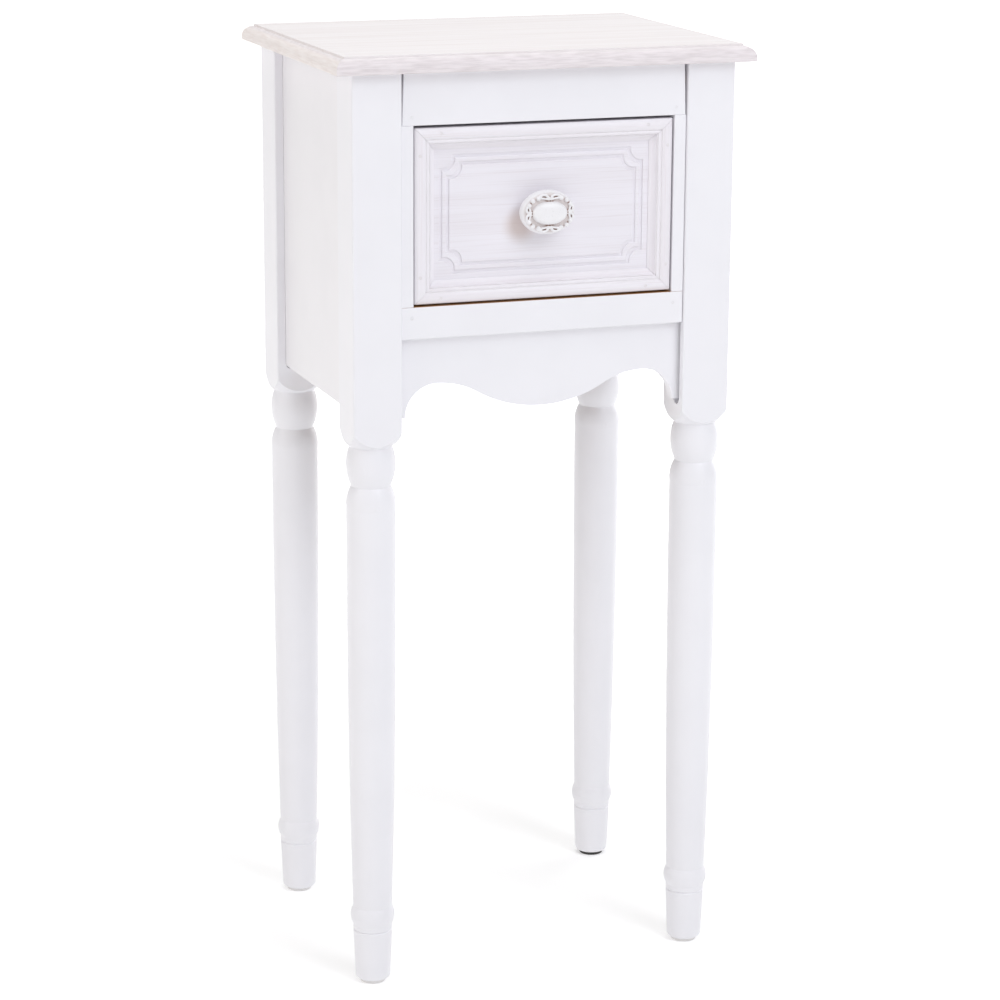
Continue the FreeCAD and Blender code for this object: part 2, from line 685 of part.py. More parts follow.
def moulding_strip(half_length, half_across):
    """A mitred strip along X at the top edge of a front of these half sizes, centred on the origin."""
    section = filled(moulding_section())
    # The section's X goes down from the top edge and its Z forward, to -Y
    placing = FreeCAD.Matrix(0, 0, 0, -half_length, 0, 0, -1, 0, -1, 0, 0, half_across, 0, 0, 0, 1)
    section = section.transformGeometry(placing)
    bar = section.extrude(Vector(2 * half_length, 0, 0))
    inset = MOULDING_WIDTH
    end = half_length - MITRE_GAP / 2
    trapezium = polygon([Vector(-end, 0, half_across), Vector(end, 0, half_across),
                         Vector(end - inset, 0, half_across - inset),
                         Vector(-end + inset, 0, half_across - inset)])
    mitre = trapezium.extrude(Vector(0, -MOULDING_DEPTH, 0))
    return bar.common(mitre).Solids[0]


def moulding_brads(half_length, half_across):
    """Where a strip's two brads go, on the strip's own axes."""
    crest = Vector(half_length - MOULDING_BRAD_FROM_END, -MOULDING_DEPTH, half_across - MOULDING_BAND / 2)
    return [(Vector(side * crest.x, crest.y, crest.z), BACK, MOULDING_DEPTH + MOULDING_BRAD_BITE)
            for side in (-1, 1)]


def onto_front(shape, turn):
    """Turns a strip's shape about the drawer's centre and puts it on the front."""
    shape.rotate(Vector(0, 0, 0), BACK, turn)
    shape.translate(Vector(0, field_y, knob_z))
    return shape


def notched_outline(inset):
    """The notched-corner rectangle as a face on the drawer's field, some way inside the outer groove."""
    half_x = field_x - BEAD_MARGIN - inset
    half_z = field_z - BEAD_MARGIN - inset
    quarter = math.sqrt(0.5) * NOTCH_RADIUS
    corner = NOTCH_STEP + NOTCH_RADIUS

    def point(x, z):
        return Vector(x, field_y, knob_z + z)

    edges = [line(point(-half_x, corner - half_z), point(-half_x, half_z - corner)),
             line(point(half_x, corner - half_z), point(half_x, half_z - corner)),
             line(point(corner - half_x, half_z), point(half_x - corner, half_z)),
             line(point(corner - half_x, -half_z), point(half_x - corner, -half_z))]
    for x_sign in (-1, 1):
        for z_sign in (-1, 1):
            centre_x = half_x - NOTCH_STEP
            centre_z = half_z - NOTCH_STEP
            start = point(x_sign * centre_x, z_sign * (half_z - corner))
            middle = point(x_sign * (centre_x - quarter), z_sign * (centre_z - quarter))
            end = point(x_sign * (half_x - corner), z_sign * centre_z)
            edges += [line(point(x_sign * half_x, z_sign * (half_z - corner)), start),
                      Part.Arc(start, middle, end).toShape(),
                      line(end, point(x_sign * (half_x - corner), z_sign * half_z))]
    return Part.Face(Part.Wire(Part.__sortEdges__(edges)))


def notched_ring(inset, width, depth):
    """A ring that follows the notched rectangle, sunk from the field."""
    sink = BACK * depth
    return notched_outline(inset).extrude(sink).cut(notched_outline(inset + width).extrude(sink))


def front_panel():
    """The drawer's front board with its bead, dadoes, bottom groove and knob hole."""
    board = block((-front_x, front_x), (field_y, panel_back), (front_low, front_high))
    channel = notched_ring(0, BEAD_WIDTH + 2 * BEAD_GROOVE, BEAD_DEPTH)
    bead = notched_ring(BEAD_GROOVE, BEAD_WIDTH, BEAD_DEPTH)
    bead = softened(bead, BEAD_ROUND, lambda middle, box: abs(middle.y - field_y) < BEAD_DEPTH / 4)

    def on_channel(middle, box):
        inside = abs(middle.x) < field_x and abs(middle.z - knob_z) < field_z
        return inside and middle.y < field_y + BEAD_DEPTH / 4

    dado_front = panel_back - DADO_DEPTH - DADO_PLAY
    dado = block((-box_x - DADO_PLAY, -box_inner_x + DADO_PLAY), (dado_front, panel_back),
                 (front_low, side_top + DADO_PLAY))
    groove_x = box_inner_x + BOTTOM_GROOVE
    groove = block((-groove_x, groove_x), (panel_back - BOTTOM_GROOVE, panel_back),
                   (bottom_low - BOTTOM_PLAY, bottom_top + BOTTOM_PLAY))
    knob_hole = rod(Vector(0, field_y, knob_z), BACK, FRONT_THICKNESS, KNOB_SCREW_DIAMETER + 2 * HOLE_PLAY)
    brads = [onto_front(brad_hole(*place), turn) for turn, sizes in strips().values()
             for place in moulding_brads(*sizes)]
    board = softened(cut_all(board, [channel]), FIELD_ROUND, on_channel)
    board = cut_all(board, [knob_hole, groove] + both_sides([dado]) + brads)
    return board.fuse(bead).removeSplitter().Solids[0]


def strips():
    """The four moulding strips: how far each is turned, and the half sizes along and across it."""
    wide = (front_x, front_half_height)
    tall = (front_half_height, front_x)
    return {"top": (0, wide), "right": (90, tall), "bottom": (180, wide), "left": (270, tall)}


def drawer_front():
    """The front board, its mitred mouldings and their brads."""
    pieces = {"drawer_front_panel": front_panel()}
    brads = []
    for name, (turn, sizes) in strips().items():
        places = moulding_brads(*sizes)
        strip = cut_all(moulding_strip(*sizes), [brad_hole(*place) for place in places])
        pieces[f"drawer_moulding_{name}"] = onto_front(strip, turn)
        brads += [onto_front(brad(*place), turn) for place in places]
    pieces["moulding_brads"] = group(brads)
    return pieces


# Drawer box

def drawer_box():
    """Sides, back and bottom of the drawer, with the brads and pins that hold them."""
    back_front = box_back - BOX_BACK_THICKNESS
    back_y = (back_front + box_back) / 2
    back_high = side_top - BOX_BACK_DROP
    brad_levels = [bottom_top + (back_high - bottom_top) * share for share in (0.25, 0.75)]
    side_brads = [(Vector(-box_x, back_y, z), -LEFT, SIDE_THICKNESS + 2 * BRAD_BITE) for z in brad_levels]
    pins = [(Vector(-box_inner_x / 2, back_y, bottom_low), UP, BOTTOM_THICKNESS + BRAD_BITE)]
    groove = (bottom_low - BOTTOM_PLAY, bottom_top + BOTTOM_PLAY)
    side_y = (panel_back - DADO_DEPTH, box_back)
    side = block((-box_x, -box_inner_x), side_y, (front_low, side_top))
    side_cuts = [brad_hole(*place) for place in side_brads]
    side_cuts.append(block((-box_inner_x - BOTTOM_GROOVE, -box_inner_x), side_y, groove))
    side = cut_all(side, side_cuts)
    back = block((-box_inner_x, box_inner_x), (back_front, box_back), (bottom_top, back_high))
    back = cut_all(back, both_sides([brad_hole(*place) for place in side_brads + pins]))
    bottom_x = box_inner_x + BOTTOM_GROOVE - BOTTOM_PLAY
    bottom = block((-bottom_x, bottom_x), (panel_back - BOTTOM_GROOVE + BOTTOM_PLAY, box_back),
                   (bottom_low, bottom_top))
    bottom = cut_all(bottom, both_sides([brad_hole(*place) for place in pins]))
    return {"drawer_left_side": side, "drawer_right_side": mirrored(side), "drawer_back": back,
            "drawer_bottom": bottom,
            "drawer_back_brads": group(both_sides([brad(*place) for place in side_brads])),
            "drawer_bottom_pins": group(both_sides([brad(*place) for place in pins]))}


# Knob

def oval(half_x, half_z, out):
    """An ellipse round the knob's axis, some way out from the drawer's field."""
    centre = Vector(0, field_y - out, knob_z)
    ellipse = Part.Ellipse(centre + Vector(half_x, 0, 0), centre + Vector(0, 0, half_z), centre)
    return Part.Wire(ellipse.toShape())


def rim_place(turn, inset):
    """A point of the knob's front, at an angle round its axis and some way inside its outline."""
    angle = math.radians(turn)
    return Vector((KNOB_WIDTH / 2 - inset) * math.cos(angle), field_y - KNOB_RIM_OUT,
                  knob_z + (KNOB_HEIGHT / 2 - inset) * math.sin(angle))


def scroll(middle, side):
    """One C-scroll of the knob's ring: a round wire from the middle of its pair to a ball."""
    root = rim_place(middle, SCROLL_ROOT_INSET)
    crown = rim_place(middle + side * SCROLL_CROWN_TURN, SCROLL_CROWN_INSET)
    tip = rim_place(middle + side * SCROLL_TIP_TURN, SCROLL_TIP_INSET)
    spine = Part.Wire([Part.Arc(root, crown, tip).toShape()])
    start = spine.Edges[0].tangentAt(spine.Edges[0].FirstParameter)
    circle = Part.Wire(Part.Circle(root, start, SCROLL_WIRE / 2).toShape())
    wire = spine.makePipeShell([circle], True, True)
    return [wire, Part.makeSphere(SCROLL_WIRE / 2, root), Part.makeSphere(SCROLL_BALL / 2, tip)]


def knob():
    """The cast knob: a flared stem, an oval bowl, a low oval dome and a ring of scrolls round it."""
    half_x = KNOB_WIDTH / 2
    half_z = KNOB_HEIGHT / 2
    stem = KNOB_STEM_DIAMETER / 2
    foot = KNOB_FOOT_DIAMETER / 2
    collar_out = KNOB_NECK_OUT + KNOB_FOOT_THICKNESS
    axis_point = Vector(0, field_y, knob_z)

    def on_stem(radius, out):
        return Vector(radius, field_y - out, knob_z)

    waist = Part.Arc(on_stem(foot, KNOB_FOOT_THICKNESS), on_stem(stem, collar_out / 2),
                     on_stem(foot, KNOB_NECK_OUT)).toShape()
    post = turned([line(on_stem(0, 0), on_stem(foot, 0)),
                   line(on_stem(foot, 0), on_stem(foot, KNOB_FOOT_THICKNESS)),
                   waist, line(on_stem(foot, KNOB_NECK_OUT), on_stem(foot, collar_out)),
                   line(on_stem(foot, collar_out), on_stem(0, collar_out)),
                   line(on_stem(0, collar_out), on_stem(0, 0))], axis_point, BACK)
    bowl = Part.makeLoft([oval(half_x - inset, half_z - inset, out) for inset, out in (
        (BOWL_BACK_INSET, KNOB_NECK_OUT), (BOWL_SIDE_INSET, BOWL_SIDE_OUT), (0, BOWL_WIDEST_OUT),
        (BOWL_FRONT_INSET, KNOB_RIM_OUT))], True)
    scaling = FreeCAD.Matrix()
    scaling.scale(CABOCHON_WIDTH / 2, CABOCHON_RISE, CABOCHON_HEIGHT / 2)
    ball = Part.makeSphere(1)
    ball.rotate(Vector(0, 0, 0), LEFT, 90)
    dome = ball.transformGeometry(scaling)
    dome.translate(Vector(0, field_y - KNOB_RIM_OUT, knob_z))
    scrolls = []
    for middle in (0, 90, 180, 270):
        for side in (-1, 1):
            scrolls += scroll(middle, side)
    body = bowl.fuse([post, dome]).fuse(scrolls)
    thread = rod(axis_point, -BACK, KNOB_SCREW_GRIP + HOLE_PLAY, KNOB_SCREW_DIAMETER + HOLE_PLAY)
    return body.cut(thread).removeSplitter().Solids[0]


def knob_pieces():
    """The knob with the screw and washer that hold it from inside the drawer."""
    washer_back = panel_back + WASHER_THICKNESS
    washer = rod(Vector(0, panel_back, knob_z), BACK, WASHER_THICKNESS, WASHER_DIAMETER)
    washer = cut_all(washer, [rod(Vector(0, panel_back, knob_z), BACK, WASHER_THICKNESS,
                                  KNOB_SCREW_DIAMETER + 2 * HOLE_PLAY)])
    fastener = stepped_pin(Vector(0, washer_back + KNOB_SCREW_HEAD_THICKNESS, knob_z), -BACK,
                           (KNOB_SCREW_HEAD_DIAMETER, KNOB_SCREW_HEAD_THICKNESS),
                           (KNOB_SCREW_DIAMETER, WASHER_THICKNESS + FRONT_THICKNESS + KNOB_SCREW_GRIP))
    return {"drawer_knob": knob(), "knob_washer": washer, "knob_screw": fastener}


def main():
    """Builds every piece and writes one file for each."""
    pieces = {"top_board": top_board()}
    for sub_assembly in (legs, glides, panels, face_frame, apron, drawer_ways, carcass_fixings,
                         drawer_front, drawer_box, knob_pieces):
        pieces.update(sub_assembly())
    os.makedirs("parts", exist_ok=True)
    for name, shape in pieces.items():
        shape.translate(Vector(0, shift_y, 0))
        shape.exportStep(f"parts/{name}.step")
        print(f"{name}: {len(shape.Solids)} solids, {shape.Volume:.1f} mm3, valid {shape.isValid()}")


main()
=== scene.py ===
"""Looks of a tall white nightstand: limed top and drawer front, painted turned legs, cast scroll knob."""
import logging
import math
from dataclasses import dataclass, replace
from enum import Enum

import bpy
from mathutils import Matrix, Vector


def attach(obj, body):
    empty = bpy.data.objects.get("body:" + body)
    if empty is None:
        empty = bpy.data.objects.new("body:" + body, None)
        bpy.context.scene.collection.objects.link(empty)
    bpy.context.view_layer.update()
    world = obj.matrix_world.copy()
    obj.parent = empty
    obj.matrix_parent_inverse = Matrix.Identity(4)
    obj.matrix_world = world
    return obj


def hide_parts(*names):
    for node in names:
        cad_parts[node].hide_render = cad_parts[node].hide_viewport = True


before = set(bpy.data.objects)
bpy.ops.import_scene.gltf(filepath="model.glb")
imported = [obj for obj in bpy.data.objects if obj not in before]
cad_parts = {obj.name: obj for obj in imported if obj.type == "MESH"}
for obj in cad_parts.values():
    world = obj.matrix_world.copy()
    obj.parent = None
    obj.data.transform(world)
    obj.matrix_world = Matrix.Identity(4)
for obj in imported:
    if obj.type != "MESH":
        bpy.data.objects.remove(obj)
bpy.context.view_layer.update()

MM = 0.001
LOG = logging.getLogger("nightstand")

Colour = tuple[float, float, float, float]
Place = tuple[float, float, float]
Pair = tuple[float, float]
Material = bpy.types.Material
NodeTree = bpy.types.NodeTree
Object = bpy.types.Object
Socket = bpy.types.NodeSocket

WHITE = "FFFFFF"
# Noise seldom leaves this range, so relief is spread over it
NOISE_SPAN = (0.2, 0.8)
# Cosines between which a face starts to look one way and fully does
FACING_SPAN = (0.8, 0.95)
# A face whose normal has a Y below this looks to the front
FRONT_COSINE = -0.9
OCCLUSION_SAMPLES = 16
MERGE_DISTANCE = 1e-6


class Axis(Enum):
    """The axis that a grain or a brush stroke runs along."""

    X = 0
    Y = 1
    Z = 2

    def streak(self, across: float, length: float) -> Place:
        """Gives the sizes along X, Y and Z of a streak that runs along this axis."""
        return tuple(length if number == self.value else across for number in range(3))


def linear(code: str) -> Colour:
    """Turns an sRGB hex colour into the linear colour that a socket takes.

    Args:
        code: six hex digits.
    Returns:
        Linear red, green and blue, and an alpha of 1.
    """
    parts = [int(code[start:start + 2], 16) / 255 for start in (0, 2, 4)]
    values = [part / 12.92 if part <= 0.04045 else ((part + 0.055) / 1.055) ** 2.4 for part in parts]
    return (values[0], values[1], values[2], 1.0)


def add_node(tree: NodeTree, kind: str, inputs: dict | None = None, **settings: object) -> bpy.types.Node:
    """Adds a shader node with its settings, values and links.

    Args:
        tree: the tree that gets the node.
        kind: the node's type without its ShaderNode prefix.
        inputs: a value, or a socket to link from, for each input's name or number.
        settings: properties of the node.
    Returns:
        The new node.
    """
    node = tree.nodes.new("ShaderNode" + kind)
    for name, value in settings.items():
        setattr(node, name, value)
    for key, value in (inputs or {}).items():
        if isinstance(value, Socket):
            tree.links.new(value, node.inputs[key])
        else:
            node.inputs[key].default_value = value
    return node


@dataclass(frozen=True)
class Finish:
    """What every finish shares: its name, how rough it is, and how the relief of its surface stands up."""

    name: str
    roughness: float = 0.45
    roughness_spread: float = 0.1
    relief_mm: float = 0.02

    def begin(self) -> tuple[Material, NodeTree, Socket, Socket]:
        """Starts the material.

        Returns:
            The material, its tree, and the sockets of the object's coordinates and normal.
        """
        material = bpy.data.materials.new(self.name)
        material.use_nodes = True
        tree = material.node_tree
        tree.nodes.clear()
        source = add_node(tree, "TexCoord")
        return material, tree, source.outputs["Object"], source.outputs["Normal"]

    def streaks(self, tree: NodeTree, place: Socket, sizes_mm: Place, detail: float = 2.0) -> Socket:
        """Adds noise that is stretched to a real size along each axis.

        Args:
            tree: the material's tree.
            place: the coordinates in metres.
            sizes_mm: the size of one streak along X, Y and Z.
            detail: how many finer layers the noise has.
        Returns:
            The noise, from 0 to 1.
        """
        scale = tuple(1 / (size * MM) for size in sizes_mm)
        stretched = add_node(tree, "VectorMath", {0: place, 1: scale}, operation="MULTIPLY")
        noise = add_node(tree, "TexNoise", {"Vector": stretched.outputs[0], "Scale": 1.0, "Detail": detail})
        return noise.outputs["Fac"]

    def spread(self, tree: NodeTree, value: Socket, span: Pair, low: float = 0.0,
               high: float = 1.0) -> Socket:
        """Maps a range of a value smoothly onto another range.

        Args:
            tree: the material's tree.
            value: what is mapped.
            span: the values that give low and high.
            low: the result at the start of the span.
            high: the result at its end.
        Returns:
            The mapped value.
        """
        node = add_node(tree, "MapRange", {0: value, 1: span[0], 2: span[1], 3: low, 4: high},
                        interpolation_type="SMOOTHSTEP")
        return node.outputs[0]

    def blend(self, tree: NodeTree, amount: Socket, first: Socket | Colour,
              second: Socket | Colour) -> Socket:
        """Mixes two colours, with the amount of the second one from 0 to 1."""
        node = add_node(tree, "Mix", {0: amount, 6: first, 7: second}, data_type="RGBA")
        return node.outputs[2]

    def part(self, tree: NodeTree, vector: Socket, letter: str) -> Socket:
        """Takes the X, Y or Z of a vector."""
        return add_node(tree, "SeparateXYZ", {0: vector}).outputs[letter]

    def facing(self, tree: NodeTree, normal: Socket, way: Place) -> Socket:
        """Gives 1 on faces that look along a direction and 0 elsewhere."""
        along = add_node(tree, "VectorMath", {0: normal, 1: way}, operation="DOT_PRODUCT")
        return self.spread(tree, along.outputs["Value"], FACING_SPAN)

    def hollows(self, tree: NodeTree, reach_mm: float, span: Pair, most: float = 1.0) -> Socket:
        """Finds the hollows of a piece's own shape.

        Args:
            tree: the material's tree.
            reach_mm: how far away a neighbouring face still makes a hollow.
            span: the shares of open sky that count as flat and as a full hollow.
            most: the result in a full hollow.
        Returns:
            A value from 0 on open faces to most in a full hollow.
        """
        sky = add_node(tree, "AmbientOcclusion", {"Distance": reach_mm * MM}, samples=OCCLUSION_SAMPLES,
                       only_local=True)
        return self.spread(tree, sky.outputs["AO"], span, 0.0, most)

    def close(self, tree: NodeTree, colour: Socket, height: Socket, **fixed: float) -> None:
        """Ends the tree with a bump, the shader and the output.

        Args:
            tree: the material's tree.
            colour: the surface's colour.
            height: the relief, from 0 to 1, which also varies the roughness.
            fixed: inputs of the shader that are the same all over.
        """
        half = self.roughness_spread / 2
        rough = self.spread(tree, height, NOISE_SPAN, self.roughness - half, self.roughness + half)
        bump = add_node(tree, "Bump", {"Height": height, "Distance": self.relief_mm * MM})
        shader = add_node(tree, "BsdfPrincipled", {
            "Base Color": colour, "Roughness": rough, "Normal": bump.outputs[0], **fixed})
        add_node(tree, "OutputMaterial", {"Surface": shader.outputs[0]})


@dataclass(frozen=True)
class GrainedWood(Finish):
    """Planed wood whose grain runs along one axis, bare or under a thin limed wash."""

    axis: Axis = Axis.X
    pale: str = "F3EFEF"
    dark: str = "E2D9D6"
    line_mm: float = 1.1
    line_length_mm: float = 70.0
    line_span: Pair = (0.48, 0.78)
    lines: float = 0.45
    band_mm: float = 9.0
    band_length_mm: float = 320.0
    band_span: Pair = (0.35, 0.75)
    bands: float = 0.35

    def tones(self, tree: NodeTree, place: Socket) -> tuple[Socket, Socket]:
        """Adds the grain: broad bands, with fine lines over them.

        Args:
            tree: the material's tree.
            place: the coordinates in metres.
        Returns:
            The colour of the wood, and the fine lines as a height.
        """
        fine = self.streaks(tree, place, self.axis.streak(self.line_mm, self.line_length_mm), detail=3.0)
        broad = self.streaks(tree, place, self.axis.streak(self.band_mm, self.band_length_mm), detail=2.0)
        banded = self.blend(tree, self.spread(tree, broad, self.band_span, 0.0, self.bands),
                            linear(self.pale), linear(self.dark))
        colour = self.blend(tree, self.spread(tree, fine, self.line_span, 0.0, self.lines),
                            banded, linear(self.dark))
        return colour, fine

    def build(self) -> Material:
        """Makes the material: colour, relief and roughness all follow the grain.

        Returns:
            The material.
        """
        material, tree, place, _ = self.begin()
        colour, fine = self.tones(tree, place)
        self.close(tree, colour, fine)
        return material


@dataclass(frozen=True)
class LimedTop(GrainedWood):
    """Limed wood of the top board, rubbed through to a browner tone on its moulded edge.

    The heights where the flat ends and the edge begins are in metres.
    """

    front_pale: str = "EDE6E8"
    front_dark: str = "DBD3D5"
    front_streak_mm: Place = (14.0, 5.0, 1.3)
    end_pale: str = "F8F2F0"
    end_dark: str = "EDE4E1"
    end_streak_mm: Place = (5.0, 18.0, 1.3)
    streak_span: Pair = (0.3, 0.75)
    end_span: Pair = (0.3, 0.7)
    edge_heights: Pair = (0.7198, 0.7170)

    def rubbed(self, tree: NodeTree, place: Socket, sizes_mm: Place, pale: str, dark: str) -> Socket:
        """Gives the colour of a rubbed edge, with short streaks of two tones.

        Args:
            tree: the material's tree.
            place: the coordinates in metres.
            sizes_mm: the size of one streak along X, Y and Z.
            pale: the tone between the streaks.
            dark: the tone of the streaks.
        Returns:
            The colour.
        """
        streaks = self.streaks(tree, place, sizes_mm, detail=4.0)
        return self.blend(tree, self.spread(tree, streaks, self.streak_span), linear(pale), linear(dark))

    def build(self) -> Material:
        """Makes the material: grain on the flat, rubbed streaks on the front edge and the end edges.

        Returns:
            The material.
        """
        material, tree, place, normal = self.begin()
        colour, fine = self.tones(tree, place)
        on_edge = self.spread(tree, self.part(tree, place, "Z"), self.edge_heights)
        across = add_node(tree, "VectorMath", {0: normal}, operation="ABSOLUTE").outputs[0]
        at_end = self.spread(tree, self.part(tree, across, "X"), self.end_span)
        front = self.rubbed(tree, place, self.front_streak_mm, self.front_pale, self.front_dark)
        end = self.rubbed(tree, place, self.end_streak_mm, self.end_pale, self.end_dark)
        edge = self.blend(tree, at_end, front, end)
        self.close(tree, self.blend(tree, on_edge, colour, edge), fine)
        return material


@dataclass(frozen=True)
class LimedFront(GrainedWood):
    """Limed wood of the drawer front: white paste, partly painted light, in hollows, and a painted brown
    shadow beside the knob.

    The centre of the painted knob shadow is in metres.
    """

    # Partly painted light: this near-white goes into the hollows, partly as lime paste and partly to lift the
    # shade there
    paste_and_painted_light: str = "FDFBFC"
    hollow_mm: float = 1.5
    hollow_span: Pair = (0.95, 0.6)
    paste_and_painted_light_amount: float = 0.6
    # Painted shadow: the brown tone, centre and reach of the knob's cast shadow on the field
    knob_shadow_colour: str = "D3BFB6"
    knob_shadow_place: Place = (-0.017, -0.1092, 0.590)
    knob_shadow_span_mm: Pair = (17.0, 4.0)
    knob_shadow_strength: float = 0.6

    def build(self) -> Material:
        """Makes the material: grain, then paste with painted light in the hollows, then a painted shadow
        beside the knob.

        Returns:
            The material.
        """
        material, tree, place, _ = self.begin()
        colour, fine = self.tones(tree, place)
        # Painted light: the hollows turn whiter, partly as real lime paste and partly to lift the shade that
        # falls in them
        paste_and_painted_light_mask = self.hollows(tree, self.hollow_mm, self.hollow_span, self.paste_and_painted_light_amount)
        colour = self.blend(tree, paste_and_painted_light_mask, colour, linear(self.paste_and_painted_light))
        # Painted shadow: a brown tint down and left of the knob, where the knob's cast shadow falls
        away = add_node(tree, "VectorMath", {0: place, 1: self.knob_shadow_place}, operation="DISTANCE")
        span = (self.knob_shadow_span_mm[0] * MM, self.knob_shadow_span_mm[1] * MM)
        painted_knob_shadow = self.spread(tree, away.outputs["Value"], span, 0.0, self.knob_shadow_strength)
        colour = self.blend(tree, painted_knob_shadow, colour, linear(self.knob_shadow_colour))
        self.close(tree, colour, fine)
        return material


@dataclass(frozen=True)
class SatinPaint(Finish):
    """Brushed satin paint on wood: an even coat with faint brush lines and soft cloudy tones."""

    axis: Axis = Axis.Z
    pale: str = "F2F1F5"
    cloud: str = "F0EFF3"
    bare: str = "A9763F"
    bare_ways: tuple[Place, ...] = ()
    brush_mm: float = 0.9
    stroke_mm: float = 90.0
    cloud_mm: float = 45.0
    cloud_span: Pair = (0.35, 0.75)
    ior: float = 1.5

    def build(self) -> Material:
        """Makes the material: cloudy white, bare wood on the faces that the paint misses, brushed relief.

        Returns:
            The material.
        """
        material, tree, place, normal = self.begin()
        strokes = self.streaks(tree, place, self.axis.streak(self.brush_mm, self.stroke_mm), detail=2.0)
        clouds = self.streaks(tree, place, (self.cloud_mm,) * 3, detail=3.0)
        colour = self.blend(tree, self.spread(tree, clouds, self.cloud_span),
                            linear(self.pale), linear(self.cloud))
        for way in self.bare_ways:
            colour = self.blend(tree, self.facing(tree, normal, way), colour, linear(self.bare))
        self.close(tree, colour, strokes, IOR=self.ior)
        return material


@dataclass(frozen=True)
class FleckedFinish(Finish):
    """A plain body colour with fine flecks: pressed fibre board, zinc plate, filler or moulded plastic."""

    pale: str = "8A6A4A"
    dark: str = "5E452E"
    fleck_mm: float = 0.8
    fleck_span: Pair = (0.35, 0.7)
    metallic: float = 0.0

    def build(self) -> Material:
        """Makes the material: two tones and a relief that follow the flecks.

        Returns:
            The material.
        """
        material, tree, place, _ = self.begin()
        flecks = self.streaks(tree, place, (self.fleck_mm,) * 3, detail=4.0)
        colour = self.blend(tree, self.spread(tree, flecks, self.fleck_span),
                            linear(self.pale), linear(self.dark))
        self.close(tree, colour, flecks, Metallic=self.metallic)
        return material


@dataclass(frozen=True)
class PatinaPaint(Finish):
    """White enamel on a zinc casting, with brown glaze wiped into the hollows of the ornament.

    The places along Y where the ornament begins and where its floor lies are in metres.
    """

    pale: str = "F1F0F2"
    glaze: str = "AE9287"
    hollow_mm: float = 1.6
    hollow_span: Pair = (0.85, 0.45)
    mottle_mm: float = 1.6
    front_y: float = -0.1243
    front_band: float = 0.001
    floor_y: float = -0.1258
    floor_band: float = 0.0004
    floor_glaze: float = 0.40
    ior: float = 1.5

    def build(self) -> Material:
        """Makes the material: glaze in the hollows and on the floor of the ornament, but not on the bowl.

        Returns:
            The material.
        """
        material, tree, place, _ = self.begin()
        mottled = self.streaks(tree, place, (self.mottle_mm,) * 3, detail=3.0)
        hollow = self.hollows(tree, self.hollow_mm, self.hollow_span)
        depth = self.part(tree, place, "Y")
        front_span = (self.front_y + self.front_band, self.front_y - self.front_band)
        in_front = self.spread(tree, depth, front_span)
        floor_span = (self.floor_y - self.floor_band, self.floor_y + self.floor_band)
        low = self.spread(tree, depth, floor_span, 0.0, self.floor_glaze)
        wiped = add_node(tree, "Math", {0: hollow, 1: low}, operation="MAXIMUM").outputs[0]
        amount = add_node(tree, "Math", {0: wiped, 1: in_front}, operation="MULTIPLY").outputs[0]
        colour = self.blend(tree, amount, linear(self.pale), linear(self.glaze))
        self.close(tree, colour, mottled, IOR=self.ior)
        return material


# Pine, planed, limed and matt lacquered: a chalky cream board with soft grey-pink lines along its length
# and little shine. The moulded edge is rubbed, so it looks browner, with short broken streaks.
LIMED_TOP = LimedTop("limed_pine_top", roughness=0.66, roughness_spread=0.12, relief_mm=0.03)

# The same pine on the drawer: cool pale lilac with thin level lines, and a painted brown shadow down and left
# of the knob, where the knob's cast shadow falls. The lines of the grain are about twice as wide as real
# ones, so that they show.
LIMED_FRONT = LimedFront("limed_pine_front", roughness=0.5, roughness_spread=0.12, relief_mm=0.03,
                         pale="EFECF2", dark="E0D9DD", line_mm=0.9, lines=0.5, bands=0.25, paste_and_painted_light_amount=0.05)

# The moulding strips are a little warmer, and their quirks are whitened, partly as lime paste and partly as
# painted light that lifts their shade, so they look soft and pale.
LIMED_STRIP_X = replace(LIMED_FRONT, name="limed_pine_along_x", paste_and_painted_light_amount=0.6, pale="F0EDF2", dark="E2D9DC")
LIMED_STRIP_Z = replace(LIMED_STRIP_X, name="limed_pine_along_z", axis=Axis.Z)

# Satin white paint, brushed on wood: an even, cool white with a soft sheen and hardly any pattern.
# Real brush lines are about 0.3 mm wide, and these are drawn at 0.9 mm so that they catch the light.
PAINTED_LEGS = SatinPaint("satin_white_paint_on_legs", roughness=0.4, relief_mm=0.015)
PAINTED_STILES = SatinPaint("satin_white_paint_on_stiles", roughness=0.4)
PAINTED_RAILS = SatinPaint("satin_white_paint_along_x", roughness=0.4, axis=Axis.X)

# The thin panels take the paint a little duller and warmer than the solid posts do.
PAINTED_PANELS = SatinPaint("satin_white_paint_on_panels", roughness=0.42, pale="F0EEF1", cloud="EEECEF")

# The drawer has rubbed the paint off the top of the bottom rail, so a line of brown wood shows in the gap.
PAINTED_WORN_RAIL = replace(PAINTED_RAILS, name="satin_white_paint_worn_off_on_top", bare_ways=((0, 0, 1),))

# Planed, unfinished pine: honey yellow with brown lines along the piece, and no shine.
BARE_WAYS = GrainedWood("planed_pine_along_y", roughness=0.6, roughness_spread=0.15, relief_mm=0.05,
                        axis=Axis.Y, pale="D8B483", dark="A8763F")
BARE_SIDES = replace(BARE_WAYS, name="planed_pine_drawer_sides", pale="DDBB8C", dark="B07F48")
BARE_BACK = replace(BARE_SIDES, name="planed_pine_drawer_back", axis=Axis.X)

# Hardboard, pressed wet from fibres: an even mid brown with fine dark flecks, smooth on the upper side.
HARDBOARD = FleckedFinish("smooth_hardboard", roughness=0.5, roughness_spread=0.15)

